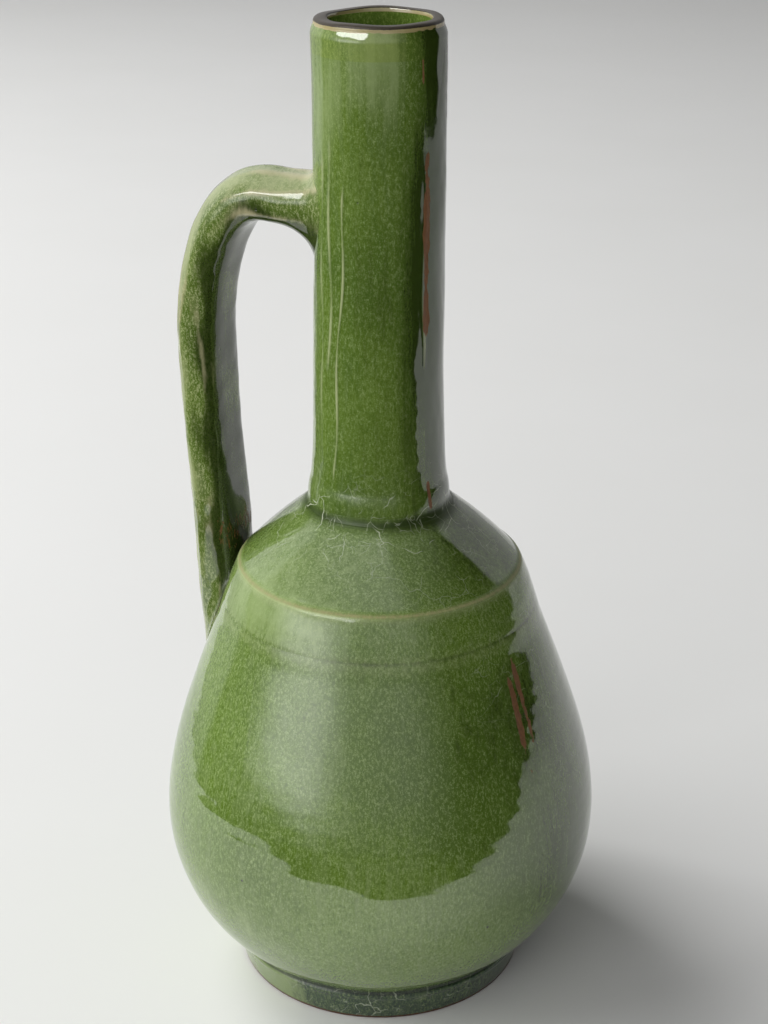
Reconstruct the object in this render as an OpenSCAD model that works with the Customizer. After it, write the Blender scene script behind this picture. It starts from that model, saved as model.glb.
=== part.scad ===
// Tall green-glazed pitcher: thrown and joined clay rings with a pulled strap handle.
// Millimetres, +Z up. The origin is on the axis of the body, at the underside of the foot.
// The handle lies along -X. Every ring is luted to the next one with a stepped lap seam.

/* [Foot] */
// Radius of the foot at the ground
foot_r = 59; // [56:0.5:60]
// Height of the foot band below the belly
foot_h = 17; // [15:0.5:18]
// Thickness of the floor of the pitcher
floor_t = 9; // [7:0.5:10]
// Radius of the base slab inside the foot ring
base_r = 50; // [46:0.5:51]

/* [Belly and shoulder] */
// Radius of the belly at its widest
belly_r = 88; // [86:0.5:92]
// Height of the widest line of the belly
belly_z = 71; // [68:0.5:74]
// Thickness of the belly and shoulder wall
wall = 6; // [5:0.25:7]
// Height of the lower edge of the shoulder band
band_z = 163.5; // [162:0.5:165]
// Height of the ridge between the band and the shoulder
ridge_z = 180; // [179:0.5:181]
// Radius of the ridge
ridge_r = 56.4; // [56:0.1:57]

/* [Neck and mouth] */
// Height of the groove between the shoulder and the neck
neck_z = 204.5; // [204:0.5:206]
// Outer radius of the neck where it is narrowest
neck_r = 24.2; // [23.8:0.1:24.6]
// Radius of the bore inside the neck
bore_r = 19; // [18.8:0.1:19.5]
// Radius of the bore through the lip
mouth_r = 18.5; // [17.5:0.1:18.6]
// Overall height, to the top of the lip
height = 390; // [380:1:400]

/* [Handle] */
// Distance from the axis to the middle of the grip
grip_reach = 73.6; // [70:0.2:75]
// Height of the middle of the strap at the top of its arch
arch_z = 322.3; // [318:0.5:326]
// Width of the strap across the hand
strap_w = 27; // [22:0.5:28]
// Thickness of the strap
strap_t = 18; // [14:0.2:18.4]

/* [Hidden] */
$fn = 96;

glaze_deep = [0.20, 0.33, 0.09];
glaze_mid = [0.30, 0.44, 0.14];
glaze_light = [0.42, 0.52, 0.26];
bare_clay = [0.56, 0.40, 0.27];

curve_steps = 14;                 // segments in each curve of the wall
lap = 4;                          // depth of an ordinary lap seam
lip_z = height - 12;              // seam between the neck and the lip
lip_round = 2;                    // rounding of the lip's two edges
collar_top_z = neck_z + 11;       // seam between the collar and the neck
lip_r = neck_r + 0.2;             // outer radius of the lip
spigot_r = 23;                    // outer radius of the collar's spigot in the shoulder
spigot_z = neck_z - 6.5;          // underside of that spigot
band_r = 61.6;                    // outer radius at the lower edge of the shoulder band

// Lap seams, each as radius of the step, height outside and depth of the lap inside
foot_seam = [60, foot_h, lap];
belly_seam = [belly_r - wall / 2, belly_z, lap];
band_seam = [58.4, band_z, lap];
ridge_seam = [53, ridge_z, lap];
collar_seam = [spigot_r, neck_z, neck_z - spigot_z];
neck_seam = [21.9, collar_top_z, lap];
lip_seam = [21.4, lip_z, lap];
open_low = [0, -1, 0];            // zone limits that cut nothing
open_high = [0, height + 1, 0];
beyond_r = belly_r + 10;

// A point on a cubic curve, and a run of such points from the first end to the last
function bez(a, b, c, d, t) = pow(1 - t, 3) * a + 3 * t * pow(1 - t, 2) * b
                            + 3 * t * t * (1 - t) * c + pow(t, 3) * d;
function curve(a, b, c, d) = [for (i = [0 : curve_steps]) bez(a, b, c, d, i / curve_steps)];
// Quarter circle of radius r about a centre, from angle a0 to a1
function arc(centre, r, a0, a1) =
    [for (i = [0 : 4]) centre + r * [cos(a0 + (a1 - a0) * i / 4), sin(a0 + (a1 - a0) * i / 4)]];

// Outside of the whole pitcher without its handle, from the ground to the top of the lip
outer_line = concat(
    [[0, 0], [foot_r - 1.2, 0], [foot_r, 1], [foot_r + 2.6, foot_h - 6], [foot_r + 3.4, foot_h - 4.2],
     [foot_r + 2.4, foot_h - 2.8], [foot_r + 2.8, foot_h - 1], [foot_r + 5, foot_h]],
    curve([foot_r + 6, foot_h + 1.2], [foot_r + 17, foot_h + 11], [belly_r, belly_z - 25],
          [belly_r, belly_z]),
    curve([belly_r, belly_z + 1], [belly_r, belly_z + 26], [belly_r - 14, band_z - 33],
          [band_r, band_z]),
    [[band_r - 0.7, band_z + 0.5], [band_r - 0.3, band_z + 1.6]],
    curve([band_r - 0.4, band_z + 2.2], [band_r - 1.4, band_z + 8], [ridge_r + 1.4, ridge_z - 5],
          [ridge_r, ridge_z]),
    [[ridge_r - 1.6, ridge_z + 0.5]],
    curve([ridge_r - 2.8, ridge_z + 1.9], [49, ridge_z + 7], [40, ridge_z + 16], [28, neck_z]),
    [[26.8, neck_z + 0.3]],
    curve([27, neck_z + 1.2], [neck_r + 4.6, neck_z + 2.4], [neck_r + 3.6, neck_z + 7],
          [neck_r + 2.5, collar_top_z]),
    curve([neck_r + 2.4, collar_top_z + 0.6], [neck_r + 1.6, collar_top_z + 8],
          [neck_r + 1.1, collar_top_z + 20], [neck_r + 0.8, collar_top_z + 42]),
    [[neck_r + 0.6, collar_top_z + 65], [neck_r, arch_z - 14], [neck_r, arch_z],
     [lip_r - 0.1, arch_z + 36], [lip_r, height - lip_round]],
    arc([lip_r - lip_round, height - lip_round], lip_round, 18, 90),
    arc([mouth_r + lip_round, height - lip_round], lip_round, 90, 170),
    [[mouth_r, height - lip_round], [0, height - lip_round]]);

// Inside of the pitcher, from the middle of the floor to above the mouth
cavity_line = concat(
    [[0, floor_t]],
    curve([base_r - 12, floor_t], [base_r + 8, floor_t + 3], [belly_r - wall - 1, belly_z - 31],
          [belly_r - wall, belly_z]),
    curve([belly_r - wall, belly_z + 1], [belly_r - wall, belly_z + 24], [68, band_z - 32.5],
          [band_r - wall - 0.5, band_z]),
    curve([band_r - wall - 0.8, band_z + 1], [49, ridge_z - 3], [39, spigot_z - 8], [spigot_r + 3, spigot_z]),
    [[bore_r, spigot_z], [bore_r, lip_z - lap], [mouth_r, lip_z - lap], [mouth_r, height + 1],
     [0, height + 1]]);

module outer_solid() {
    rotate_extrude() polygon(outer_line);
}

// One ring of the thrown wall, between a seam below and a seam above it.
// Inside the step of each seam the ring reaches down by the depth of the lap.
module wall_ring(low, high, inner_r = 0) {
    rotate_extrude() intersection() {
        difference() {
            polygon(outer_line);
            polygon(cavity_line);
        }
        polygon([[inner_r, low[1] - low[2]], [max(low[0], inner_r), low[1] - low[2]],
                 [max(low[0], inner_r), low[1]], [beyond_r, low[1]], [beyond_r, high[1]],
                 [max(high[0], inner_r), high[1]], [max(high[0], inner_r), high[1] - high[2]],
                 [inner_r, high[1] - high[2]]]);
    }
}

// Path of the middle of the strap, as distance from the axis and height.
// It leaves the neck level, arches over, and drops down to the belly.
root_end = [38, arch_z];
tail_start_z = 175;
tail_end_z = 112;
arch_end = [grip_reach, arch_z - 60];
drop_end = [grip_reach - 4.4, tail_start_z];
ring_sides = 20;                  // points round the strap
round_power = 4;                  // squareness of the strap's section, 2 for an ellipse
root_flare = 9;                   // how much the strap thickens where it meets the neck
root_flare_wide = 3.5;            // how much it widens there
root_flare_run = 14;              // length of the strap over which it flares
tail_flare = 4;                   // how much it widens where it meets the belly
tail_thin = 2;                    // how much it thins there
tail_flare_run = 45;              // height over which that happens
tail_step = 4.5;                  // height between the rings of the lower end

function flare_at(reach) = pow(max(0, min(1, (root_end[0] - reach) / root_flare_run)), 2);
function tail_at(z) = pow(max(0, min(1, (tail_start_z - z) / tail_flare_run)), 2);
// Each station of the strap: middle, direction, half thickness and half width
function station(p, dir, t, w) = [p, dir / norm(dir), t, w];
root_stations = [for (reach = [17, 19, 21, 22.5, 24, 25.5, 27, 29, 31, 33.5, 36, 38])
    let (f = flare_at(reach))
    station([reach, arch_z - 1.2 * root_flare * f], [1, 0], strap_t / 2 + root_flare * f,
            strap_w / 2 + root_flare_wide * f)];
arch_points = curve(root_end, [56, arch_z + 5], [grip_reach, arch_z - 10], arch_end);
drop_points = curve(arch_end, [grip_reach, arch_z - 95], [grip_reach - 4, tail_start_z + 30], drop_end);
strap_points = concat(arch_points, [for (i = [1 : curve_steps]) drop_points[i]]);
last_point = len(strap_points) - 1;
strap_stations = [for (i = [0 : last_point])
    let (dir = i == 0 ? [1, 0] : i == last_point ? [0, -1]
             : strap_points[i + 1] - strap_points[i - 1])
    station(strap_points[i], dir, strap_t / 2, (strap_w - 2 * i / last_point) / 2)];
tail_stations = [for (z = [tail_start_z : -tail_step : tail_end_z])
    let (f = tail_at(z))
    station([drop_end[0] - 3 * f, z], [0, -1], strap_t / 2 - tail_thin * f,
            strap_w / 2 - 1 + tail_flare * f)];

function sign_power(v, p) = sign(v) * pow(abs(v), p);
// The points round one station: a rounded oblong square to the path, on the -X side
function ring_points(s) = [for (k = [0 : ring_sides - 1])
    let (a = 360 * k / ring_sides,
         u = s[2] * sign_power(cos(a), 2 / round_power),
         v = s[3] * sign_power(sin(a), 2 / round_power))
    [-(s[0][0] - u * s[1][1]), v, s[0][1] + u * s[1][0]]];

// A closed solid swept through the stations
module sweep(stations) {
    n = ring_sides;
    last = len(stations) - 1;
    points = [for (s = stations) each ring_points(s)];
    sides = [for (i = [0 : last - 1], k = [0 : n - 1]) let (m = (k + 1) % n)
        each [[i * n + k, i * n + m, (i + 1) * n + m], [i * n + k, (i + 1) * n + m, (i + 1) * n + k]]];
    near_cap = [for (k = [n - 1 : -1 : 0]) k];
    far_cap = [for (k = [0 : n - 1]) last * n + k];
    polyhedron(points, concat(sides, [near_cap, far_cap]), convexity = 6);
}

// Slab of clay that closes the bottom and rests on the table
module base() {
    color(bare_clay) intersection() {
        wall_ring(open_low, foot_seam);
        translate([0, 0, -1]) cylinder(r = base_r, h = foot_h + 2);
    }
}

// Turned ring round the base slab
module foot_ring() {
    color(glaze_deep) wall_ring(open_low, foot_seam, base_r);
}

// Lower bowl of the belly, thrown first and left to stiffen
module lower_belly() {
    color(glaze_light) wall_ring(foot_seam, belly_seam);
}

// Upper bowl of the belly, joined to the lower one at the widest line
module upper_belly() {
    color(glaze_mid) wall_ring(belly_seam, band_seam);
}

// Slightly bulging band between the incised line and the ridge
module shoulder_band() {
    color(glaze_light) wall_ring(band_seam, ridge_seam);
}

// Domed shoulder with the hole that takes the neck's spigot
module shoulder() {
    color(glaze_mid) wall_ring(ridge_seam, collar_seam);
}

// Rounded collar at the foot of the neck, with its spigot in the shoulder
module neck_collar() {
    color(glaze_deep) wall_ring(collar_seam, neck_seam);
}

// Long thrown neck
module neck() {
    color(glaze_mid) wall_ring(neck_seam, lip_seam);
}

// Thickened lip with a true round mouth
module lip() {
    color(bare_clay) wall_ring(lip_seam, open_high);
}

// Flared upper end of the strap, luted onto the neck
module handle_root() {
    color(glaze_mid) difference() {
        sweep(root_stations);
        outer_solid();
    }
}

// Pulled strap, from the neck over the arch and down the grip
module handle() {
    color(glaze_mid) sweep(strap_stations);
}

// Lower end of the strap, pressed onto the shoulder band and the belly
module handle_tail() {
    color(glaze_deep) difference() {
        sweep(tail_stations);
        outer_solid();
    }
}

base();
foot_ring();
lower_belly();
upper_belly();
shoulder_band();
shoulder();
neck_collar();
neck();
lip();
handle_root();
handle();
handle_tail();
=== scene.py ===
"""Tall green-glazed pitcher with a strap handle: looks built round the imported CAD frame.

Lengths are in millimetres until a mesh is written, and then in metres. Angles round the axis start at +X.
The handle lies along -X, and the view stands a little towards +X of square on to it.
"""
import math

import bpy
import numpy as np
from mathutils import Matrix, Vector
from mathutils.bvhtree import BVHTree


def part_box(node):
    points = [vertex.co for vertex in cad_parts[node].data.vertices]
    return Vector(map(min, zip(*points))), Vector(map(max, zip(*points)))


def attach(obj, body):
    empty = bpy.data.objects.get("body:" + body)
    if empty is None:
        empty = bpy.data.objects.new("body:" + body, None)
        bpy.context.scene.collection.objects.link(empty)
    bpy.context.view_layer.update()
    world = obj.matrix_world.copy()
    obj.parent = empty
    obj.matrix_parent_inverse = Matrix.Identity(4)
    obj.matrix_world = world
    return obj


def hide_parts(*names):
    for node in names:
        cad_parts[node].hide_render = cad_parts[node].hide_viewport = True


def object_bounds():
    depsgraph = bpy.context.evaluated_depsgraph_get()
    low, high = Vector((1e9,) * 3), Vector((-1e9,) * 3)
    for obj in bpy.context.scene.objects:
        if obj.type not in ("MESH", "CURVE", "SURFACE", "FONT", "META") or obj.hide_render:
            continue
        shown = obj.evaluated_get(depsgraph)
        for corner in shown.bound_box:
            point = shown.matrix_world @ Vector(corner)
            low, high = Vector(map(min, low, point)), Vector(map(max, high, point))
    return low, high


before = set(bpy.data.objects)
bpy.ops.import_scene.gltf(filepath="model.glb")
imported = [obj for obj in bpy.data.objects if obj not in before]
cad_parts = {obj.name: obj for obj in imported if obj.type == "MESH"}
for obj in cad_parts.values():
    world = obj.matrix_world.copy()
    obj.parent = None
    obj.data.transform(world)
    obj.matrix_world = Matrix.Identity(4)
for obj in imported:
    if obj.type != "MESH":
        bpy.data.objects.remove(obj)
cad_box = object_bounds()

MM = 0.001
TURN = 2 * math.pi
VIEW_TURN = math.radians(22)          # how far the view is turned round the axis
HEIGHT = cad_box[1].z / MM

# Nodes of the thrown wall, from the ground up
WALL_NODES = ["foot_ring", "lower_belly", "upper_belly", "shoulder_band", "shoulder",
              "neck_collar", "neck", "lip"]


# ---------------------------------------------------------------- camera, floor and light

KEY_POWER = 71.0                      # lamps, in watts
SIDE_POWER = 54.0
FRONT_POWER = 30.0
AMBIENT = 0.15                        # what the glaze and the floor are lit by besides the lamps
BACKDROP_GLOW = 0.40                  # what the glaze mirrors
WINDOW_GLOW = 1.5
PANE_GLOW = 6.0
ROOM_GLOW = 0.45
CEILING_GLOW = 0.22
WINDOW_AT, WINDOW_REACH = (-0.92, 0.15), (0.42, 0.19)       # azimuth and elevation, in radians
PANE_AZIMUTH, PANE_ELEVATION = (-1.37, -0.38), (0.42, 0.79)


def make_camera():
    """Camera at the viewing angle, a little above the mouth and tilted down."""
    data = bpy.data.cameras.new("view")
    camera = bpy.data.objects.new("view", data)
    bpy.context.collection.objects.link(camera)
    away = 1.808 * HEIGHT * MM
    up = 1.294 * HEIGHT * MM
    tilt_down = 0.4097
    data.sensor_width = 36
    data.lens = 68.8
    data.shift_x = 0.0038
    camera.location = (away * math.sin(VIEW_TURN), -away * math.cos(VIEW_TURN), up)
    camera.rotation_euler = (math.pi / 2 - tilt_down, 0, VIEW_TURN)
    data.clip_start = 0.01
    data.clip_end = 50
    bpy.context.scene.camera = camera


def seen_from_view(azimuth, elevation, distance):
    """Point at an azimuth measured to the right of the camera's side, in degrees."""
    a = math.radians(azimuth) + VIEW_TURN
    e = math.radians(elevation)
    return Vector((math.sin(a) * math.cos(e), -math.cos(a) * math.cos(e), math.sin(e))) * distance


def add_lamp(name, azimuth, elevation, distance, width, height, power):
    """Soft rectangular lamp aimed at the middle of the pitcher. The glaze doesn't mirror it."""
    data = bpy.data.lights.new(name, "AREA")
    data.shape = "RECTANGLE"
    data.size, data.size_y = width, height
    data.energy = power
    lamp = bpy.data.objects.new(name, data)
    bpy.context.collection.objects.link(lamp)
    middle = Vector((0, 0, HEIGHT * MM / 2))
    lamp.location = middle + seen_from_view(azimuth, elevation, distance)
    lamp.rotation_euler = (middle - lamp.location).to_track_quat("-Z", "Y").to_euler()
    lamp.visible_glossy = False


class Nodes:
    """Short way to write a node tree: every call adds one node and returns its main output."""

    def __init__(self, tree):
        self.tree = tree

    def add(self, kind, values=None, out=0, **settings):
        made = self.tree.nodes.new(kind)
        for key, value in settings.items():
            setattr(made, key, value)
        for key, value in (values or {}).items():
            if isinstance(value, bpy.types.NodeSocket):
                self.tree.links.new(value, made.inputs[key])
            else:
                made.inputs[key].default_value = value
        return made.outputs[out] if made.outputs else None

    def math(self, operation, a, b=0.0, c=0.0, clamp=False):
        return self.add("ShaderNodeMath", {0: a, 1: b, 2: c}, operation=operation, use_clamp=clamp)

    def mix(self, share, a, b, blend="MIX"):
        return self.add("ShaderNodeMix", {0: share, 6: a, 7: b}, out=2, data_type="RGBA", blend_type=blend)

    def ramp(self, value, low, high, to_low=0.0, to_high=1.0):
        return self.add("ShaderNodeMapRange", {0: value, 1: low, 2: high, 3: to_low, 4: to_high},
                        interpolation_type="SMOOTHSTEP")

    def noise(self, vector, scale, detail=2.0, roughness=0.5, distortion=0.0):
        return self.add("ShaderNodeTexNoise", {"Vector": vector, "Scale": scale, "Detail": detail,
                                               "Roughness": roughness, "Distortion": distortion})

    def stretch(self, vector, scale, location=(0, 0, 0)):
        return self.add("ShaderNodeMapping", {"Vector": vector, "Scale": scale, "Location": location})

    def attribute(self, name):
        return self.add("ShaderNodeAttribute", attribute_name=name, out=2)


def make_surroundings():
    """Plain pale studio, seen one way by the camera and another way in the glaze.

    The glaze mirrors a bright sweep behind, a dim room in front, and on the left a soft window and a pane.
    """
    world = bpy.data.worlds.new("studio")
    bpy.context.scene.world = world
    world.use_nodes = True
    world.node_tree.nodes.clear()
    n = Nodes(world.node_tree)
    direction = n.add("ShaderNodeTexCoord", out=0)
    turned = n.add("ShaderNodeVectorRotate", {"Vector": direction, "Angle": -VIEW_TURN},
                   rotation_type="Z_AXIS")
    split = world.node_tree.nodes.new("ShaderNodeSeparateXYZ")
    world.node_tree.links.new(turned, split.inputs[0])
    to_right, to_back, to_top = split.outputs
    azimuth = n.math("ARCTAN2", to_right, n.math("MULTIPLY", to_back, -1))
    elevation = n.math("ARCSINE", to_top)
    right_part = n.math("MULTIPLY", n.ramp(azimuth, 1.97, 2.05),
                        n.ramp(azimuth, 1.6, 3.1, 1.35 * BACKDROP_GLOW, BACKDROP_GLOW))
    left_part = n.ramp(azimuth, -1.92, -2.06, 0.0, BACKDROP_GLOW)
    backdrop = n.math("MULTIPLY", n.math("ADD", right_part, left_part), n.ramp(elevation, 1.15, 0.75))
    off_side = n.math("DIVIDE", n.math("SUBTRACT", azimuth, WINDOW_AT[0]), WINDOW_REACH[0])
    off_height = n.math("DIVIDE", n.math("SUBTRACT", elevation, WINDOW_AT[1]), WINDOW_REACH[1])
    off_window = n.math("ADD", n.math("POWER", n.math("ABSOLUTE", off_side), 3),
                        n.math("POWER", n.math("ABSOLUTE", off_height), 3))
    window = n.math("MULTIPLY", n.math("EXPONENT", n.math("MULTIPLY", off_window, -1)), WINDOW_GLOW)
    room = n.math("MULTIPLY", n.ramp(elevation, -0.30, 0.30, 0.0, ROOM_GLOW), n.ramp(azimuth, 0.9, 0.2))
    ceiling = n.ramp(elevation, 0.7, 1.2, 0.0, CEILING_GLOW)
    left, right = PANE_AZIMUTH
    low, high = PANE_ELEVATION
    pane_side = n.math("MULTIPLY", n.ramp(azimuth, left, left + 0.03), n.ramp(azimuth, right, right - 0.03))
    pane_height = n.math("MULTIPLY", n.ramp(elevation, low, low + 0.04),
                         n.ramp(elevation, high, high - 0.04))
    pane = n.math("MULTIPLY", n.math("MULTIPLY", pane_side, pane_height), PANE_GLOW)
    mirrored = n.math("ADD", n.math("ADD", backdrop, window), n.math("ADD", room, ceiling))
    mirrored = n.math("ADD", mirrored, pane)
    path = world.node_tree.nodes.new("ShaderNodeLightPath")
    seen = n.mix(path.outputs["Is Glossy Ray"], (AMBIENT, AMBIENT, AMBIENT, 1),
                 n.add("ShaderNodeCombineColor", {0: mirrored, 1: mirrored, 2: mirrored}))
    colour = n.mix(path.outputs["Is Camera Ray"], seen, (0.70, 0.70, 0.69, 1))
    background = n.add("ShaderNodeBackground", {"Color": colour, "Strength": 1.0})
    n.add("ShaderNodeOutputWorld", {"Surface": background})


def flat_sheet(name, corners, material):
    """Flat four-sided sheet through the given corners, in metres."""
    mesh = bpy.data.meshes.new(name)
    mesh.from_pydata(corners, [], [(0, 1, 2, 3)])
    mesh.materials.append(material)
    sheet = bpy.data.objects.new(name, mesh)
    bpy.context.collection.objects.link(sheet)
    return sheet


def make_floor():
    """Pale floor for the camera and its shadows, and a smaller bright sheet that the glaze mirrors."""
    material = bpy.data.materials.new("pale_floor")
    material.use_nodes = True
    shader = material.node_tree.nodes["Principled BSDF"]
    shader.inputs["Roughness"].default_value = 0.95
    shader.inputs["Specular IOR Level"].default_value = 0.1
    n = Nodes(material.node_tree)
    place = n.add("ShaderNodeTexCoord", out=3)
    cloud = n.noise(place, 6.0, 4.0)
    colour = n.mix(cloud, (0.80, 0.80, 0.785, 1), (0.83, 0.83, 0.82, 1))
    material.node_tree.links.new(colour, shader.inputs["Base Color"])
    far = 6.0
    floor = flat_sheet("floor", [(-far, -far, 0), (far, -far, 0), (far, far, 0), (-far, far, 0)], material)
    floor.visible_glossy = False

    front, left, right, back = -0.256, -0.39, 1.6, 1.6
    c, s = math.cos(VIEW_TURN), math.sin(VIEW_TURN)
    above_floor = 0.0001
    corners = [(x * c - y * s, x * s + y * c, above_floor) for x, y in
               [(left, front), (right, front), (right, back), (left, back)]]
    sheet = flat_sheet("mirrored_sheet", corners, material)
    sheet.visible_camera = False
    sheet.visible_diffuse = False
    sheet.visible_shadow = False
    sheet.visible_transmission = False


# ---------------------------------------------------------------- measuring the frame

def wall_radii():
    """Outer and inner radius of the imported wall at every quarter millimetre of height, by rays along +X."""
    corners, faces = [], []
    for node in WALL_NODES:
        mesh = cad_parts[node].data
        mesh.calc_loop_triangles()
        co = np.empty(len(mesh.vertices) * 3)
        mesh.vertices.foreach_get("co", co)
        tri = np.empty(len(mesh.loop_triangles) * 3, dtype=np.int64)
        mesh.loop_triangles.foreach_get("vertices", tri)
        faces.append(tri.reshape(-1, 3) + sum(len(c) for c in corners))
        corners.append(co.reshape(-1, 3))
    tree = BVHTree.FromPolygons(np.vstack(corners).tolist(), np.vstack(faces).tolist())
    heights = np.arange(0.25, HEIGHT, 0.25)
    far = 0.2
    slant = Vector((math.cos(0.01), math.sin(0.01), 0))
    outer = [tree.ray_cast(slant * far + Vector((0, 0, z * MM)), -slant)[3] for z in heights]
    inner = [tree.ray_cast(Vector((0, 0, z * MM)), slant)[3] for z in heights]
    outer = np.array([far if d is None else far - d for d in outer]) / MM
    inner = np.array([0 if d is None else d for d in inner]) / MM
    return heights, outer, inner


def softened(values, width, step=0.25):
    """Running average with a bell curve of the given width in millimetres."""
    reach = int(4 * width / step)
    weight = np.exp(-0.5 * (np.arange(-reach, reach + 1) * step / width) ** 2)
    padded = np.pad(values, reach, mode="edge")
    return np.convolve(padded, weight / weight.sum(), mode="valid")


HEIGHTS, OUTER_RAW, INNER_RAW = wall_radii()
OUTER_FINE = softened(OUTER_RAW, 0.45)
OUTER_SOFT = softened(OUTER_RAW, 2.3)
OUTER_PLAIN = softened(OUTER_RAW, 3.5)
INNER = softened(INNER_RAW, 1.0)


def bell(x, width):
    return np.exp(-(x / width) ** 2)


def box_mm(node):
    """Lowest and highest corner of a CAD node, in millimetres."""
    lo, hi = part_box(node)
    return np.array(lo) / MM, np.array(hi) / MM


FOOT_TOP = box_mm("foot_ring")[1][2]
BAND_Z = box_mm("upper_belly")[1][2]
RIDGE_Z = box_mm("shoulder_band")[1][2]
NECK_Z = box_mm("shoulder")[1][2]
COLLAR_TOP = box_mm("neck_collar")[1][2]
MOUTH_R = float(np.interp(HEIGHT - 6, HEIGHTS, INNER_RAW))
LIP_R = float(np.interp(HEIGHT - 6, HEIGHTS, OUTER_RAW))


def rubbed_outline():
    """Outside radius of the wall with its seams rubbed over.

    A cubic through the wall on either side bridges the groove, and the collar and ridge are softened.
    """
    z = HEIGHTS - BAND_Z
    beside = ((z > -22) & (z < -6)) | ((z > 5) & (z < RIDGE_Z - BAND_Z - 3))
    bridge = np.polyval(np.polyfit(z[beside], OUTER_FINE[beside], 3), z) - 0.04 * bell(z, 0.9)
    at_groove = np.exp(-(z / 7.5) ** 4)
    near_collar = np.exp(-((HEIGHTS - NECK_Z - 2) / 9) ** 4)
    near_ridge = 0.5 * np.exp(-((HEIGHTS - RIDGE_Z) / 4) ** 4)
    rubbed = OUTER_FINE + at_groove * (bridge - OUTER_FINE)
    return rubbed + (near_collar + near_ridge) * (OUTER_SOFT - OUTER_FINE)


OUTER = rubbed_outline()


def view_angle(right_of_view):
    """Angle round the axis of a place so many degrees to the right of the camera's side."""
    return math.radians(right_of_view) - math.pi / 2 + VIEW_TURN


# ---------------------------------------------------------------- relief of the clay and the glaze

def soft_noise(theta, z, seed, across, along, count=28):
    """Sum of cosines of m*theta + k*z + phase, with whole m up to `across` and waves down to `along` mm."""
    rng = np.random.default_rng(seed)
    m = rng.integers(-across, across + 1, count)
    k = rng.uniform(-1, 1, count) * TURN / along
    phase = rng.uniform(0, TURN, count)
    total = np.zeros(np.broadcast(theta, z).shape)
    for i in range(count):
        total = total + np.cos(m[i] * theta + k[i] * z + phase[i])
    return total / math.sqrt(count / 2)


def wrap(angle):
    """Angle brought between minus pi and pi."""
    return (angle + math.pi) % TURN - math.pi


def span(z, low, high, soft):
    """One between two heights, falling to nothing over `soft` outside them."""
    return np.clip((z - low) / soft + 0.5, 0, 1) * np.clip((high - z) / soft + 0.5, 0, 1)


# Strokes down the wall, each as the upper and the lower end (degrees right of the view, height),
# half the width and how strong it is: raised runs of glaze; brown strokes that are painted reflections of
# something brown on the right of the neck and belly, and unglazed clay on the back
RUNS = [((-33, 332), (-40.5, 221), 0.55, 0.34), ((-47, 350), (-50, 262), 0.8, 0.26),
        ((-58, 345), (-60, 228), 1.2, 0.18), ((41, 342), (42, 262), 1.0, 0.20),
        ((150, 330), (152, 250), 1.0, 0.30), ((205, 300), (203, 222), 1.1, 0.22),
        ((-46.6, 162), (-43.5, 131), 0.45, 0.07), ((-43.5, 134), (-42.2, 104), 0.45, 0.07),
        ((-52, 150), (-49, 96), 0.5, 0.06), ((118, 158), (120, 92), 0.6, 0.10)]
REFLECTED_BROWN_AND_UNGLAZED = [((47.2, 151.5), (46.3, 122), 1.65, 1.0), ((50.8, 154), (50.3, 123.5), 1.5, 1.0),
        ((46.9, 115), (46.9, 109.5), 1.9, 0.75), ((43.8, 346), (44, 277), 1.75, 0.95),
        ((45.1, 219), (45.3, 208), 0.95, 1.0), ((38.2, 380), (38.6, 369), 0.7, 0.8),
        ((160, 124), (161, 110), 1.6, 0.9)]
# Where the glaze is crazed: degrees right of the view, height, reach either side in degrees and in mm
CRAZED = [(0, 207, 200, 13, 1.0), (44, 193, 26, 13, 0.9), (41, 152, 9, 15, 0.5), (5, 8, 34, 9, 0.9),
          (-70, 205, 16, 8, 1.0), (62, 150, 12, 24, 0.7), (190, 60, 40, 30, 0.5)]


def throwing_rings(theta, z):
    """Finger rings: waves up the wall, about 6 mm apart, that fade in and out round the pot."""
    fade = 0.5 + 0.5 * np.tanh(soft_noise(theta, z, 11, 3, 70, 14))
    return 0.016 * fade * np.sin(TURN * z / 6.1 + 1.3 * np.sin(z / 23) + 0.5 * np.sin(theta + 1))


def wobble(theta, z):
    """Slow unevenness of a hand-thrown wall."""
    slow = 0.22 * soft_noise(theta, z, 21, 3, 150, 18) + 0.08 * soft_noise(theta, z, 22, 9, 38, 26)
    return slow + 0.022 * soft_noise(theta, z, 23, 30, 14, 40)


def strokes(theta, z, radius, table, sway):
    """Bell-shaped strokes between two ends, that wander by `sway` mm and swell unevenly."""
    total = 0
    for i, ((top_right, top), (low_right, low), half, strong) in enumerate(table):
        right = low_right + (top_right - low_right) * (z - low) / (top - low)
        wander = sway * (0.7 * np.sin(z / 9 + i) + 0.5 * np.sin(z / 23 + 2 * i))
        across = wrap(theta - np.radians(right) + math.pi / 2 - VIEW_TURN) * radius - wander
        swell = 1 + 0.30 * np.sin(z / 6.5 + 3 * i)
        total = total + strong * swell * bell(across, half) * span(z, low, top, min(8, 0.3 * (top - low)))
    return total


def crazed_places(theta, z):
    """How crazed the glaze is at each place, from 0 to 1."""
    total = 0
    for right, middle, wide, tall, strong in CRAZED:
        across = np.degrees(wrap(theta - view_angle(right)))
        total = total + strong * bell(across, wide) * bell(z - middle, tall)
    return np.clip(total, 0, 1)


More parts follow.
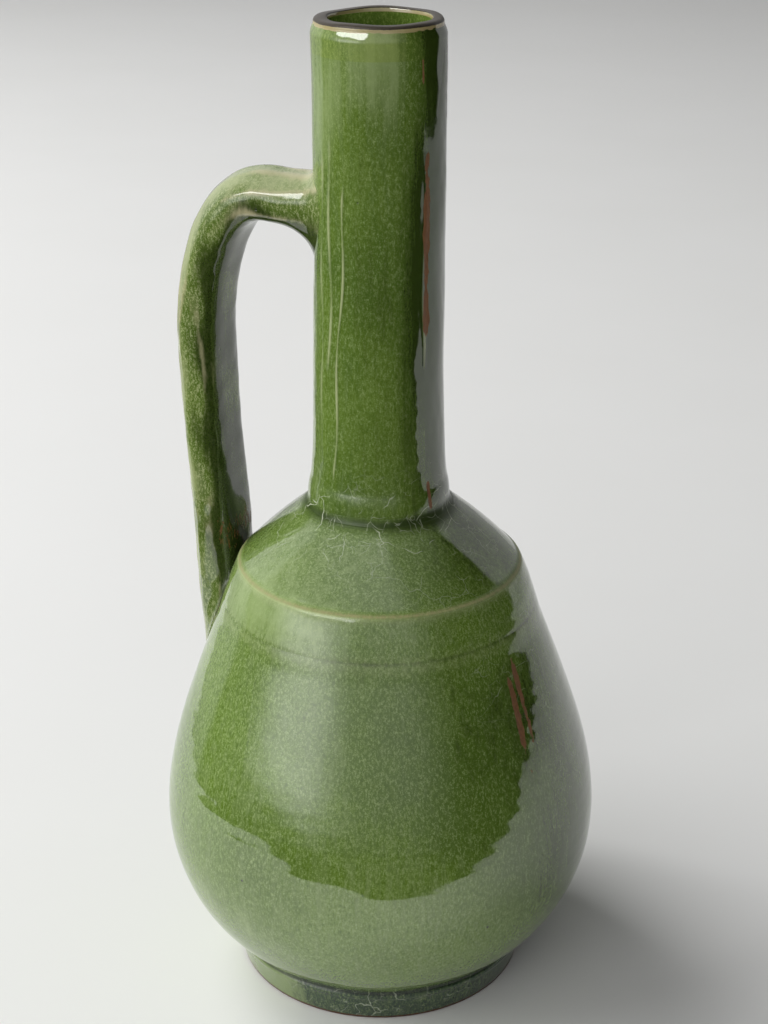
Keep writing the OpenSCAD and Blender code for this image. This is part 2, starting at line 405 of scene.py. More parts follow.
def depth_and_side_shade(theta, z):
    """Depth of the glaze with painted side shade: over 0 is darker, under 0 paler. The right side, away from
    the lamps, carries painted shade, most of all on the neck, and the left side carries painted light; the
    glaze pools deep in the neck groove and the band groove.
    """
    right = np.degrees(wrap(theta - view_angle(0)))
    # painted shade on the right side and painted light on the left side
    shaded_side = span(right, 34, 150, 44)
    lit_side = span(right, -150, -42, 40)
    on_neck = span(z, COLLAR_TOP, HEIGHT + 20, 30)
    depth = shaded_side * (0.46 + 0.85 * on_neck) - (0.16 + 0.16 * on_neck) * lit_side
    # on the side facing the view the neck is darker round its middle and paler towards the lip
    depth = depth + on_neck * (0.22 * bell(z - 285, 45) - 0.40 * bell(z - 376, 26)) * bell(right, 75)
    # paler low on the belly and on the shoulder band; glaze pooled deep in the neck groove and the band
    # groove
    depth = depth - 0.16 * bell(z - 36, 26) - 0.30 * bell(z - 172, 10) + 0.8 * bell(z - NECK_Z - 0.4, 1.8)
    depth = depth + 0.40 * bell(z - BAND_Z, 0.9)
    return depth + 0.10 * soft_noise(theta, z, 61, 4, 60, 16)


def centre_shift(z):
    """Sideways drift of the thrown wall's middle, as the neck was never quite straight."""
    sideways = -0.45 * bell(z - 245, 70)
    return sideways * math.cos(VIEW_TURN), sideways * math.sin(VIEW_TURN)


# ---------------------------------------------------------------- meshes

def grid_faces(rows, columns, close_rows, close_columns, start=0):
    """Quads of a grid of points, with either direction joined up to its start if asked."""
    r = np.arange(rows if close_rows else rows - 1)[:, None]
    c = np.arange(columns if close_columns else columns - 1)[None, :]
    r2, c2 = (r + 1) % rows, (c + 1) % columns
    quads = np.stack([r * columns + c, r * columns + c2, r2 * columns + c2, r2 * columns + c], axis=-1)
    return quads.reshape(-1, 4) + start


def signed_volume(points, faces):
    """Volume inside the faces, negative where they look inwards."""
    a, b, c, d = (points[faces[:, i]] for i in range(4))
    return (np.einsum("ij,ij->i", a, np.cross(b, c)) + np.einsum("ij,ij->i", a, np.cross(c, d))).sum() / 6


def make_piece(name, points, faces, values, material, nodes):
    """Puts points in millimetres and their faces into a smooth closed mesh that stands for CAD nodes."""
    if signed_volume(points, faces) < 0:
        faces = faces[:, ::-1]
    mesh = bpy.data.meshes.new(name)
    mesh.from_pydata((points * MM).tolist(), [], [[i for n, i in enumerate(f) if n == 0 or i != f[n - 1]]
                                                  for f in faces.tolist()])
    mesh.validate()
    for key, value in values.items():
        layer = mesh.attributes.new(key, "FLOAT", "POINT")
        layer.data.foreach_set("value", np.ascontiguousarray(value, dtype=np.float32).ravel())
    mesh.shade_smooth()
    mesh.set_sharp_from_angle(angle=math.radians(55))
    mesh.materials.append(material)
    piece = bpy.data.objects.new(name, mesh)
    bpy.context.collection.objects.link(piece)
    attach(piece, "root")
    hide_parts(*nodes)
    return piece


def seam_steps(node):
    """Radius, outside height and depth of the lap below and above a ring, read from its CAD vertices."""
    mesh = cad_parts[node].data
    co = np.empty(len(mesh.vertices) * 3)
    mesh.vertices.foreach_get("co", co)
    co = co.reshape(-1, 3) / MM
    r, z = np.hypot(co[:, 0], co[:, 1]), co[:, 2]
    low_r = r[z < z.min() + 0.01].max()
    low_z = z[(np.abs(r - low_r) < 0.02) & (z < z.min() + 12)].max()
    high_r = r[z > z.max() - 0.01].min()
    high_z = z[(np.abs(r - high_r) < 0.02) & (z > z.max() - 12)].min()
    return (low_r, low_z, z.min()), (high_r, z.max(), high_z)


def ring_piece(name, node, material, rows, columns, inner_rows=26):
    """Turns a closed section round the axis.

    The section runs up the outside with its relief, over the upper lap, down the inside and the lower lap.
    """
    (low_r, low_z, low_tongue), (high_r, high_z, high_step) = seam_steps(node)
    theta = np.arange(columns) * TURN / columns
    z_out = np.linspace(low_z, high_z, rows)
    z_in = np.linspace(high_step, low_tongue, inner_rows)
    radius = np.interp(z_out, HEIGHTS, OUTER)[:, None]
    groove = radius - np.interp(z_out, HEIGHTS, OUTER_PLAIN)[:, None]
    z_grid, t_grid = np.meshgrid(z_out, theta, indexing="ij")
    runs = strokes(t_grid, z_grid, radius, RUNS, 1.0)
    # brown strokes: painted reflections of something brown on the right of the neck and belly, unglazed clay
    # on the back
    bare_and_brown_reflection = strokes(t_grid, z_grid, radius, REFLECTED_BROWN_AND_UNGLAZED, 0.15)
    rings = throwing_rings(t_grid, z_grid)
    outside = radius + rings + wobble(t_grid, z_grid) + runs - 0.12 * np.clip(bare_and_brown_reflection, 0, 1)
    inside_rings = throwing_rings(theta[None, :] + 2, z_in[:, None] + 3)
    inside = np.interp(z_in, HEIGHTS, INNER)[:, None] + inside_rings
    steps_up = np.array([[high_r, high_z], [high_r, high_step]])
    steps_down = np.array([[low_r, low_tongue], [low_r, low_z]])
    flat = np.ones((1, columns))
    r_all = np.vstack([outside, steps_up[:, :1] * flat, inside, steps_down[:, :1] * flat])
    z_all = np.vstack([z_grid, steps_up[:, 1:] * flat, z_in[:, None] * flat, steps_down[:, 1:] * flat])
    shift_x, shift_y = centre_shift(z_all)
    points = np.stack([r_all * np.cos(theta) + shift_x, r_all * np.sin(theta) + shift_y, z_all], axis=-1)
    hidden = np.zeros((len(r_all) - rows, columns))
    values = {
        "relief": np.vstack([groove + rings + 0.3 * runs, hidden]),
        "runs": np.vstack([runs, hidden]),
        "worn": np.vstack([bell(z_grid - RIDGE_Z, 0.48), hidden]),
        "dull": np.vstack([bell(z_grid - RIDGE_Z, 1.4) + bell(z_grid - NECK_Z - 0.5, 3.4), hidden]),
        "bare_and_brown_reflection": np.vstack([bare_and_brown_reflection, hidden]),
        "craze": np.vstack([crazed_places(t_grid, z_grid), hidden]),
        "depth_and_shade": np.vstack([depth_and_side_shade(t_grid, z_grid), hidden]),
    }
    faces = grid_faces(len(r_all), columns, True, True)
    return make_piece(name, points.reshape(-1, 3), faces, values, material, [node])


def foot_piece(material):
    """Turned foot ring: tapered outside with a rounded lower edge and a flat underside."""
    columns = 420
    theta = np.arange(columns) * TURN / columns
    (_, _, _), (high_r, high_z, high_step) = seam_steps("foot_ring")
    base_r = box_mm("base")[1][0]
    z_out = np.linspace(1.2, high_z, 46)
    radius = np.interp(z_out, HEIGHTS, OUTER)[:, None]
    groove = radius - np.interp(z_out, HEIGHTS, OUTER_PLAIN)[:, None]
    z_grid, t_grid = np.meshgrid(z_out, theta, indexing="ij")
    rings = throwing_rings(t_grid, z_grid)
    near_ground = bell(z_grid, 7)
    outside = radius + 0.6 * rings + wobble(t_grid, z_grid) * (1 - 0.7 * near_ground)
    foot_edge = float(radius[0, 0])
    turn_in = np.linspace(0, math.pi / 2, 6)[1:]
    edge_r = foot_edge - 1.2 + 1.2 * np.cos(turn_in)
    edge_z = 1.2 - 1.2 * np.sin(turn_in)
    floor_top = float(np.interp(base_r, INNER_RAW[HEIGHTS < FOOT_TOP], HEIGHTS[HEIGHTS < FOOT_TOP]))
    corners = np.array([[high_r, high_z], [high_r, high_step],
                        [np.interp(high_step, HEIGHTS, INNER), high_step],
                        [base_r, floor_top], [base_r, 0]])
    flat = np.ones((1, columns))
    r_all = np.vstack([edge_r[::-1, None] * flat, outside, corners[:, :1] * flat])
    z_all = np.vstack([edge_z[::-1, None] * flat, z_grid, corners[:, 1:] * flat])
    points = np.stack([r_all * np.cos(theta), r_all * np.sin(theta), z_all], axis=-1)
    top, tail = np.zeros((len(edge_r), columns)), np.zeros((len(corners), columns))
    right = np.degrees(wrap(t_grid - view_angle(0)))
    # painted light: the foot's left side, towards the lamps, is paler
    foot_lit_side = 0.85 * span(right, -150, -32, 22)
    values = {"relief": np.vstack([top, groove * np.ones_like(rings), tail]),
              "bare_and_brown_reflection": np.vstack([top + 1, 0.8 * bell(z_grid - 0.6, 1.2), tail]),
              "craze": np.vstack([top, crazed_places(t_grid, z_grid), tail]),
              "depth_and_shade": np.vstack([top, 0.12 * rings - foot_lit_side, tail])}
    faces = grid_faces(len(r_all), columns, True, True)
    return make_piece("foot", points.reshape(-1, 3), faces, values, material, ["foot_ring"])


def lip_piece(material):
    """Lip: outside, a crown that is a flattened half oval, the true round mouth, and the lap below."""
    columns = 260
    theta = np.arange(columns) * TURN / columns
    (low_r, low_z, low_tongue), _ = seam_steps("lip")
    crown_z = HEIGHT - 2.2
    z_out = np.linspace(low_z, crown_z, 22)
    radius = np.interp(z_out, HEIGHTS, OUTER)[:, None]
    z_grid, t_grid = np.meshgrid(z_out, theta, indexing="ij")
    radius = np.clip(radius, LIP_R - 0.4, LIP_R)
    chamfer_low, chamfer_in = HEIGHT - 5.6, 1.15
    drawn_in = chamfer_in * np.clip((z_grid - chamfer_low) / (crown_z - chamfer_low), 0, 1) ** 1.35
    outside = radius + throwing_rings(t_grid, z_grid) + wobble(t_grid, z_grid) - drawn_in
    turn = np.linspace(0, math.pi, 30)[1:-1, None]
    rim_r = outside[-1:, :]
    middle, half = (rim_r + MOUTH_R) / 2, (rim_r - MOUTH_R) / 2
    sway = 0.16 * soft_noise(theta[None, :], 0 * theta[None, :], 31, 5, 50, 12)
    crown_r = middle + half * np.sign(np.cos(turn)) * np.abs(np.cos(turn)) ** 0.62
    crown_h = crown_z + (2.0 + sway) * np.sin(turn) ** 0.72 + 0.28 * bell(turn - 2.35, 0.35)
    z_in = np.linspace(crown_z, low_tongue, 14)
    bore = MOUTH_R + 0 * theta[None, :] + 0 * z_in[:, None]
    flat = np.ones((1, columns))
    steps = np.array([[low_r, low_tongue], [low_r, low_z]])
    r_all = np.vstack([outside, crown_r, bore, steps[:, :1] * flat])
    z_all = np.vstack([z_grid, crown_h, z_in[:, None] * flat, steps[:, 1:] * flat])
    shift_x, shift_y = centre_shift(z_all)
    points = np.stack([r_all * np.cos(theta) + shift_x, r_all * np.sin(theta) + shift_y, z_all], axis=-1)
    below = np.zeros((len(bore) + 2, columns))
    crown = span(turn, 0.36, 2.5, 0.2) * flat
    uneven = 1 + 0.4 * soft_noise(t_grid, 0 * z_grid, 32, 40, 50, 30)
    pale_edge = 0.5 * bell(z_grid - crown_z, 0.30) * uneven
    pale_rims = (bell(turn - 2.75, 0.2) + bell(turn - 0.2, 0.14)) * 0.8 * flat
    values = {"relief": np.vstack([throwing_rings(t_grid, z_grid), 0 * crown, below]),
              "runs": np.vstack([pale_edge, pale_rims, below]),
              "bare_and_brown_reflection": np.vstack([0 * z_grid, crown, below]),
              "depth_and_shade": np.vstack([depth_and_side_shade(t_grid, z_grid), 0 * crown, below])}
    faces = grid_faces(len(r_all), columns, True, True)
    return make_piece("lip_ring", points.reshape(-1, 3), faces, values, material, ["lip"])


# ---------------------------------------------------------------- handle

def cubic(a, b, c, d, t):
    """Points on a cubic curve with end points a and d and pull points b and c."""
    t = t[:, None]
    return ((1 - t) ** 3 * np.array(a) + 3 * t * (1 - t) ** 2 * np.array(b)
            + 3 * t * t * (1 - t) * np.array(c) + t ** 3 * np.array(d))


STRAP_LO, STRAP_HI = box_mm("handle")
TAIL_LO, TAIL_HI = box_mm("handle_tail")
HALF_W = (STRAP_HI[1] - STRAP_LO[1]) / 2
ROOT_REACH = -STRAP_HI[0]
HALF_T = (TAIL_HI[0] - TAIL_LO[0]) / 2
GRIP_REACH = -STRAP_LO[0] - HALF_T
ARCH_Z = STRAP_HI[2] - HALF_T - 1.6
TAIL_TOP = STRAP_LO[2]
TAIL_REACH = GRIP_REACH - 4.4
TAIL_END = TAIL_LO[2] - 8


def strap_path():
    """Middle of the strap from the neck to inside the belly: distance from the axis, and height."""
    t = np.linspace(0, 1, 120)
    root = cubic((20, ARCH_Z), (26, ARCH_Z), (32, ARCH_Z), (ROOT_REACH, ARCH_Z), np.linspace(0, 1, 24))
    arch = cubic((ROOT_REACH, ARCH_Z), (56, ARCH_Z + 5), (GRIP_REACH, ARCH_Z - 10),
                 (GRIP_REACH, ARCH_Z - 60), t)
    drop = cubic((GRIP_REACH, ARCH_Z - 60), (GRIP_REACH, ARCH_Z - 95), (GRIP_REACH - 4, TAIL_TOP + 30),
                 (TAIL_REACH, TAIL_TOP), t)
    tail = cubic((TAIL_REACH, TAIL_TOP), (TAIL_REACH - 0.3, TAIL_TOP - 18), (TAIL_REACH - 2, TAIL_TOP - 38),
                 (TAIL_REACH - 5, TAIL_END), t)
    return np.vstack([root, arch[1:], drop[1:], tail[1:]])


def trumpet(gap, flare):
    """How far a skin has opened out at a gap from a wall that it meets in a quarter circle of radius flare.

    It is nothing once the gap is as wide as the flare.
    """
    inside = np.clip(flare - gap, 0, flare)
    return flare - np.sqrt(np.clip(flare ** 2 - inside ** 2, 0, None))


def strap_surface(rows, columns):
    """The strap's skin: a rounded oblong carried along the path, with ribs, dents and flared ends.

    Returns points (rows, columns, 3), each row's distance from the axis and height, and the painted values.
    """
    path = strap_path()
    length = np.concatenate([[0], np.cumsum(np.hypot(*np.diff(path, axis=0).T))])
    s = np.linspace(0, length[-1], rows)
    reach, z = np.interp(s, length, path[:, 0]), np.interp(s, length, path[:, 1])
    reach, z = softened(reach, 3, s[1]), softened(z, 3, s[1])
    along = np.stack([np.gradient(reach, s), np.gradient(z, s)], axis=-1)
    along /= np.linalg.norm(along, axis=1)[:, None]
    phi = np.arange(columns) * TURN / columns
    squareness = np.where(np.cos(phi) < 0, 0.52, 0.84 + 0.30 * span(s, 5, 80, 30)[:, None])
    cos_p = np.sign(np.cos(phi)) * np.abs(np.cos(phi)) ** squareness
    sin_p = np.sign(np.sin(phi)) * np.abs(np.sin(phi)) ** squareness
    share = (s / s[-1])[:, None]
    ribs = np.zeros((rows, columns))
    for i, (where, deep, wide) in enumerate([(-0.55, 0.55, 0.16), (-1.15, 0.45, 0.12), (-1.75, 0.4, 0.14),
                                             (0.9, 0.5, 0.2), (2.2, 0.4, 0.2), (0.1, 0.45, 0.18)]):
        sway = 0.10 * np.sin(s / 17 + 2 * i) + 0.06 * np.sin(s / 7 + i)
        ribs += deep * bell(wrap(phi[None, :] - where - sway[:, None]), wide)
    ribs *= 0.6 + 0.4 * np.sin(s / 13)[:, None]
    dents = 0.16 * soft_noise(phi[None, :], s[:, None], 41, 3, 45, 22)
    dents = dents + 0.04 * soft_noise(phi[None, :], s[:, None], 42, 9, 9, 26)
    half_t = HALF_T + 0.2 + 0.4 * np.sin(s / 31)[:, None] - 0.3 * share + 0.6 * (cos_p > 0)
    half_w = HALF_W + 0.4 - 1.0 * share + 0.4 * np.sin(s / 23 + 1)[:, None]
    u = (half_t + ribs * 0.6 + dents) * cos_p
    v = (half_w + ribs * 0.6 + dents) * sin_p
    # flare against the neck: the skin opens out like a trumpet, most of all below
    neck_r = float(np.interp(ARCH_Z, HEIGHTS, OUTER))
    gap = np.clip(reach - neck_r, -2, None)[:, None]
    at_neck = s[:, None] < 40
    below = np.clip(-cos_p, 0, 1)
    spread_u = trumpet(gap, 5.0 + 11.0 * below ** 1.5) * at_neck
    spread_v = trumpet(gap, 4.5) * at_neck
    u = u + spread_u * cos_p
    v = (v + spread_v * sin_p) * (1 - 0.02 * below * spread_u)
    normal = np.stack([-along[:, 1], along[:, 0]], axis=-1)
    out_reach = reach[:, None] + u * normal[:, :1]
    out_z = z[:, None] + u * normal[:, 1:]
    wrap_share = np.clip(1 - gap / (ROOT_REACH - neck_r), 0, 1) * at_neck
    hug = np.sqrt(np.clip(out_reach ** 2 - np.minimum(np.abs(v), 21) ** 2, 1, None))
    x = -(out_reach * (1 - wrap_share) + hug * wrap_share)
    # flare against the belly: near the wall the skin spreads sideways and runs out downwards
    wall_r = np.interp(out_z, HEIGHTS, OUTER_PLAIN)
    above_wall = np.hypot(x, v) - wall_r
    spread_b = 0.6 * trumpet(above_wall, 7.0) * (out_z < TAIL_TOP + 4)
    v = v + spread_b * sin_p
    out_z = out_z - spread_b * np.clip(cos_p, 0, 1) * (out_z < TAIL_TOP - 20)
    points = np.stack([x, v, out_z], axis=-1)
    near_inside = bell(wrap(phi - 1.30 * math.pi), 0.55)[None, :]
    near_outside = bell(wrap(phi - 1.80 * math.pi), 0.60)[None, :]
    lower = np.clip((TAIL_TOP + 60 - z) / 60, 0, 1)[:, None]
    # painted shade on the strap's inner side and along its near inner corner, painted light on its near outer
    # corner, and darker towards the lower end
    depth_and_shade = 0.75 * near_inside - 0.60 * near_outside + 0.25 * lower + 0.60 * below
    depth_and_shade = depth_and_shade + 0.22 * soft_noise(phi[None, :], s[:, None], 43, 6, 34, 20)
    # brown on the inner side just above where the strap meets the belly
    brown = 0.46 * bell(z - TAIL_TOP - 8, 14)[:, None] * np.clip(below + near_inside, 0, 1)
    return points, reach, z, {"relief": ribs + dents, "depth_and_shade": depth_and_shade, "bare_and_brown_reflection": brown}


def handle_pieces(material):
    """Cuts the strap's skin into its root, its grip and its tail, each closed by flat ends."""
    rows, columns = 560, 150
    points, reach, z, painted = strap_surface(rows, columns)
    first = int(np.argmax(reach >= ROOT_REACH))
    last = int(rows - 1 - np.argmax((z > TAIL_TOP)[::-1]))
    for name, node, a, b in (("handle_upper_end", "handle_root", 0, first),
                             ("handle_strap", "handle", first, last),
                             ("handle_lower_end", "handle_tail", last, rows - 1)):
        part = points[a:b + 1]
        ends = np.stack([part[0].mean(axis=0), part[-1].mean(axis=0)])
        n = len(part)
        all_points = np.vstack([part.reshape(-1, 3), ends])
        faces = grid_faces(n, columns, False, True)
        c = np.arange(columns)
        c2 = (c + 1) % columns
        first_cap = np.stack([c2, c, np.full(columns, n * columns), np.full(columns, n * columns)], axis=-1)
        start = (n - 1) * columns
        last_cap = np.stack([start + c, start + c2, np.full(columns, n * columns + 1),
                             np.full(columns, n * columns + 1)], axis=-1)
        values = {key: np.concatenate([value[a:b + 1].ravel(), [0, 0]]) for key, value in painted.items()}
        make_piece(name, all_points, np.vstack([faces, first_cap, last_cap]), values, material, [node])


# ---------------------------------------------------------------- materials

def group_tree(name, inputs, outputs):
    """Empty shader node group with the given named sockets, as (name, kind, default)."""
    tree = bpy.data.node_groups.new(name, "ShaderNodeTree")
    for label, kind, default in inputs:
        socket = tree.interface.new_socket(name=label, in_out="INPUT", socket_type=kind)
        if default is not None:
            socket.default_value = default
    for label, kind in outputs:
        tree.interface.new_socket(name=label, in_out="OUTPUT", socket_type=kind)
    start = tree.nodes.new("NodeGroupInput")
    end = tree.nodes.new("NodeGroupOutput")
    return tree, Nodes(tree), start.outputs, end.inputs


def mottle_group():
    """Uneven depth of the glaze: broad clouds, streaks that ran down, and fine grain."""
    tree, n, given, out = group_tree(
        "glaze_mottle",
        [("Place", "NodeSocketVector", None), ("Grain", "NodeSocketFloat", 1.0)],
        [("Depth", "NodeSocketFloat"), ("Grain", "NodeSocketFloat"), ("Streak", "NodeSocketFloat")])
    cloud = n.noise(given["Place"], 14.0, 3.0, 0.55)
    streak_place = n.stretch(given["Place"], (1, 1, 0.10))
    wide_streak = n.noise(streak_place, 95.0, 3.0, 0.6, 0.2)
    thin_streak = n.noise(streak_place, 420.0, 3.0, 0.6)
    long_grain = n.noise(n.stretch(given["Place"], (1, 1, 0.5)), 1150.0, 3.0, 0.7)
    speck = n.noise(given["Place"], 2300.0, 2.0, 0.6)
    streak = n.math("ADD", n.math("MULTIPLY", wide_streak, 0.45), n.math("MULTIPLY", thin_streak, 0.55))
    grain = n.math("ADD", n.math("MULTIPLY", long_grain, 0.6), n.math("MULTIPLY", speck, 0.4))
    depth = n.math("ADD", n.math("MULTIPLY", cloud, 0.5), n.math("MULTIPLY", streak, 0.5))
    tree.links.new(n.ramp(depth, 0.36, 0.64), out["Depth"])
    grain_more = n.math("MULTIPLY_ADD", n.math("SUBTRACT", grain, 0.5), given["Grain"], 0.5)
    tree.links.new(grain_more, out["Grain"])
    tree.links.new(streak, out["Streak"])
    return tree


def crazing_group():
    """Fine cracks in the glaze: the edges of warped cells, long wide-spaced ones and a fine net between."""
    tree, n, given, out = group_tree(
        "crazing",
        [("Place", "NodeSocketVector", None), ("Patch", "NodeSocketFloat", 0.5)],
        [("Crack", "NodeSocketFloat")])
    warp = n.add("ShaderNodeTexNoise", {"Vector": given["Place"], "Scale": 70.0, "Detail": 3.0}, out=1)
    bent = n.add("ShaderNodeVectorMath", {0: warp, 1: (0.014, 0.014, 0.014)}, operation="MULTIPLY")
    place = n.add("ShaderNodeVectorMath", {0: given["Place"], 1: bent}, operation="ADD")
    long_edge = n.add("ShaderNodeTexVoronoi", {"Vector": place, "Scale": 62.0}, feature="DISTANCE_TO_EDGE")
    fine_edge = n.add("ShaderNodeTexVoronoi", {"Vector": place, "Scale": 190.0}, feature="DISTANCE_TO_EDGE")
    long_line = n.ramp(long_edge, 0.012, 0.003)
    fine_line = n.ramp(fine_edge, 0.030, 0.006)
    long_gaps = n.ramp(n.noise(given["Place"], 90.0, 2.0), 0.44, 0.54)
    fine_gaps = n.ramp(n.noise(given["Place"], 130.0, 3.0), 0.50, 0.62)
    seen = n.math("MAXIMUM", n.math("MULTIPLY", long_line, long_gaps),
                  n.math("MULTIPLY", n.math("MULTIPLY", fine_line, fine_gaps), 0.6))
    tree.links.new(n.math("MULTIPLY", seen, given["Patch"], clamp=True), out["Crack"])
    return tree


def skin_group():
    """Height of the glaze's own surface: slow ripples, orange peel and a few pinholes."""
    tree, n, given, out = group_tree(
        "glaze_skin",
        [("Place", "NodeSocketVector", None)],
        [("Height", "NodeSocketFloat"), ("Pinhole", "NodeSocketFloat")])
    ripple = n.noise(n.stretch(given["Place"], (1, 1, 0.6)), 75.0, 3.0, 0.6)
    peel = n.noise(given["Place"], 480.0, 2.0, 0.5)
    cell = n.add("ShaderNodeTexVoronoi", {"Vector": given["Place"], "Scale": 150.0}, feature="F1")
    rare = n.ramp(n.noise(given["Place"], 47.0, 1.0), 0.63, 0.66)
    hole = n.math("MULTIPLY", n.ramp(cell, 0.10, 0.05), rare)
    height = n.math("ADD", ripple, n.math("MULTIPLY", peel, 0.07))
    tree.links.new(n.math("SUBTRACT", height, n.math("MULTIPLY", hole, 0.6)), out["Height"])
    tree.links.new(hole, out["Pinhole"])
    return tree


MOTTLE = mottle_group()
CRAZING = crazing_group()
SKIN = skin_group()
# colour of unglazed clay, also the brown of painted reflections on the body and neck
CLAY_AND_REFLECTED_BROWN = (0.22, 0.098, 0.036, 1)
PALE_CRACK = (0.62, 0.66, 0.50, 1)
PALE_GLAZE = (0.42, 0.46, 0.24, 1)
WORN_EDGE = (0.34, 0.28, 0.15, 1)


def use_group(n, tree, values):
    """Places a node group in a tree and returns its outputs."""
    made = n.tree.nodes.new("ShaderNodeGroup")
    made.node_tree = tree
    for key, value in values.items():
        if isinstance(value, bpy.types.NodeSocket):
            n.tree.links.new(value, made.inputs[key])
        else:
            made.inputs[key].default_value = value
    return made.outputs


# clay is the colour of unglazed clay and, for the body and neck glazes, of brown painted reflections
def glaze_material(name, deep, middle, light, clay=CLAY_AND_REFLECTED_BROWN, pale=PALE_GLAZE, worn=0.3, grain=4.4, rough=0.06,
                   ior=2.0):
    """Glossy green glaze: dark where deep and where shade is painted, paler where it breaks and where light
    is painted, with unglazed clay at the marked places and brown painted reflections on the right of the body
    and neck.
    """
    material = bpy.data.materials.new(name)
    material.use_nodes = True
    tree = material.node_tree
    shader = tree.nodes["Principled BSDF"]
    n = Nodes(tree)
    place = n.add("ShaderNodeTexCoord", out=3)
    mottle = use_group(n, MOTTLE, {"Place": place, "Grain": grain})
    skin = use_group(n, SKIN, {"Place": place})
    relief, runs, bare_and_brown_reflection = n.attribute("relief"), n.attribute("runs"), n.attribute("bare_and_brown_reflection")
    depth_and_shade = n.attribute("depth_and_shade")
    dark = tuple(c * 0.34 for c in deep[:3]) + (1,)
    base = n.mix(mottle["Depth"], deep, middle)
    base = n.mix(n.ramp(mottle["Grain"], 0.42, 1.10, 0.0, 0.80), base, light)
    base = n.mix(n.ramp(mottle["Grain"], 0.55, -0.05, 0.0, 0.90), base, deep)
    # darker where the glaze is deep and where shade is painted, paler where light is painted
    streaked_depth_and_shade = n.math("MULTIPLY_ADD", n.math("SUBTRACT", mottle["Streak"], 0.5), 1.9, depth_and_shade)
    base = n.mix(n.ramp(streaked_depth_and_shade, 0.0, 0.85, 0.0, 0.9), base, dark)
    base = n.mix(n.ramp(streaked_depth_and_shade, 0.0, -0.8, 0.0, 0.8), base, light)
    base = n.mix(n.ramp(relief, -0.10, -0.9, 0.0, 0.72), base, dark)
    break_noise = n.noise(n.stretch(place, (1, 1, 0.35)), 620.0, 3.0, 0.65)
    raised = n.ramp(n.math("ADD", relief, n.math("MULTIPLY", break_noise, 0.5)), 0.42, 0.95, 0.0, worn)
    base = n.mix(raised, base, pale)
    base = n.mix(n.ramp(runs, 0.08, 0.34, 0.0, 0.75), base, pale)
    crack = use_group(n, CRAZING, {"Place": place, "Patch": n.attribute("craze")})["Crack"]
    base = n.mix(n.math("MULTIPLY", crack, 0.62), base, PALE_CRACK)
    base = n.mix(n.math("MULTIPLY", skin["Pinhole"], 0.8), base, (0.02, 0.025, 0.012, 1))
    worn_edge = n.math("MULTIPLY", n.attribute("worn"), n.ramp(break_noise, 0.30, 0.60, 0.45, 1.0))
    base = n.mix(n.math("MULTIPLY", worn_edge, 0.62), base, WORN_EDGE)
    # unglazed clay where marked; on the right of the body and neck the same brown is a painted reflection of
    # something brown
    bare_and_reflection_edge = n.math("MULTIPLY_ADD", n.math("SUBTRACT", break_noise, 0.5), 1.1, bare_and_brown_reflection)
    bare_and_reflection_mask = n.ramp(bare_and_reflection_edge, 0.45, 0.60)
    clay_and_reflection_colour = n.mix(mottle["Grain"], tuple(c * 0.6 for c in clay[:3]) + (1,), clay)
    base = n.mix(bare_and_reflection_mask, base, clay_and_reflection_colour)
    tree.links.new(base, shader.inputs["Base Color"])
    rough_noise = n.ramp(n.noise(place, 60.0, 3.0), 0.3, 0.7, rough * 0.75, rough * 1.35)
    dull = n.math("MAXIMUM", bare_and_reflection_mask, n.attribute("dull"))
    roughness = n.math("MULTIPLY_ADD", dull, 0.35, rough_noise, clamp=True)
    tree.links.new(n.ramp(dull, 0.0, 1.0, 0.5, 0.12), shader.inputs["Specular IOR Level"])
    tree.links.new(roughness, shader.inputs["Roughness"])
    normal = n.add("ShaderNodeBump", {"Height": skin["Height"], "Strength": 0.35, "Distance": 0.0004})
    tree.links.new(normal, shader.inputs["Normal"])
    shader.inputs["IOR"].default_value = ior
    return material


def clay_material():
    """Bare fired clay of the underside: matt, gritty and uneven in colour."""
    material = bpy.data.materials.new("bare_clay")
    material.use_nodes = True
    tree = material.node_tree
    shader = tree.nodes["Principled BSDF"]
    n = Nodes(tree)
    place = n.add("ShaderNodeTexCoord", out=3)
    cloud = n.noise(place, 40.0, 5.0, 0.6)
    grit = n.noise(place, 900.0, 3.0, 0.7)
    base = n.mix(n.ramp(cloud, 0.3, 0.7), (0.34, 0.17, 0.085, 1), (0.46, 0.27, 0.15, 1))
    base = n.mix(n.ramp(grit, 0.60, 0.75, 0.0, 0.6), base, (0.18, 0.09, 0.05, 1))
    tree.links.new(base, shader.inputs["Base Color"])
    tree.links.new(n.ramp(grit, 0.2, 0.8, 0.72, 0.95), shader.inputs["Roughness"])
    normal = n.add("ShaderNodeBump", {"Height": grit, "Strength": 0.5, "Distance": 0.0004})
    tree.links.new(normal, shader.inputs["Normal"])
    return material


# ---------------------------------------------------------------- the scene

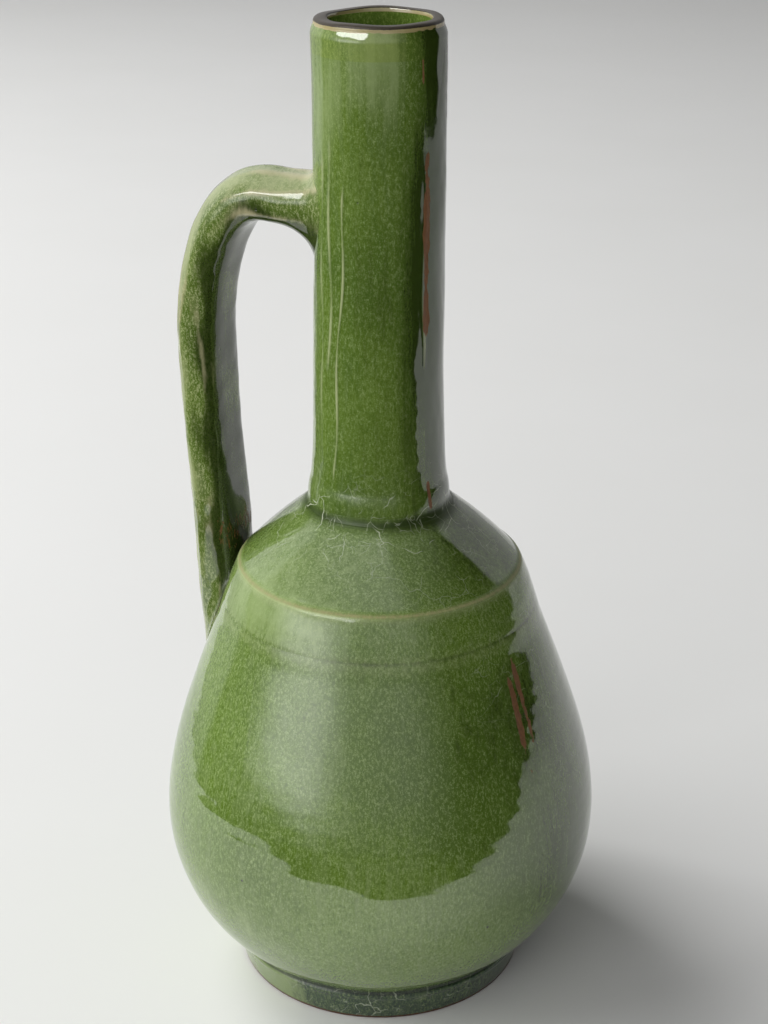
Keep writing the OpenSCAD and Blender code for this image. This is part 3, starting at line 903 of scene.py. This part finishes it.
make_camera()
make_surroundings()
make_floor()
bpy.context.scene.view_settings.view_transform = "Standard"
add_lamp("key_lamp", -122, 50, 3.4, 2.0, 1.6, KEY_POWER)
add_lamp("side_lamp", -88, 26, 3.0, 2.4, 1.8, SIDE_POWER)
add_lamp("front_lamp", -30, 26, 3.0, 2.4, 1.8, FRONT_POWER)

body_glaze = glaze_material("glaze_body", (0.074, 0.130, 0.016, 1), (0.148, 0.236, 0.038, 1),
                            (0.28, 0.37, 0.14, 1))
neck_glaze = glaze_material("glaze_neck", (0.062, 0.112, 0.015, 1), (0.132, 0.206, 0.033, 1),
                            (0.27, 0.35, 0.14, 1), grain=3.2)
# the foot's glaze is darker than the body's, partly painted shade low by the floor
shaded_foot_glaze = glaze_material("glaze_foot", (0.016, 0.036, 0.018, 1), (0.038, 0.068, 0.036, 1),
                            (0.23, 0.30, 0.12, 1), clay=(0.11, 0.05, 0.025, 1), grain=3.2, ior=1.62)
lip_glaze = glaze_material("glaze_lip", (0.062, 0.112, 0.015, 1), (0.132, 0.206, 0.033, 1),
                           (0.27, 0.35, 0.10, 1), clay=(0.055, 0.045, 0.032, 1), pale=(0.45, 0.35, 0.18, 1),
                           grain=3.2)
handle_glaze = glaze_material("glaze_handle", (0.070, 0.115, 0.018, 1), (0.150, 0.215, 0.045, 1),
                              (0.35, 0.39, 0.19, 1), pale=(0.46, 0.42, 0.25, 1),
                              worn=0.75, grain=5.6, ior=1.8)

foot_piece(shaded_foot_glaze)
ring_piece("belly_lower_bowl", "lower_belly", body_glaze, 76, 520, 24)
ring_piece("belly_upper_bowl", "upper_belly", body_glaze, 122, 560, 30)
ring_piece("shoulder_band_ring", "shoulder_band", body_glaze, 44, 480, 8)
ring_piece("shoulder_dome", "shoulder", body_glaze, 60, 420, 16)
ring_piece("collar", "neck_collar", neck_glaze, 36, 300, 8)
ring_piece("neck_tube", "neck", neck_glaze, 230, 300, 60)
lip_piece(lip_glaze)
handle_pieces(handle_glaze)

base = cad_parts["base"]
base.data.materials.clear()
base.data.materials.append(clay_material())
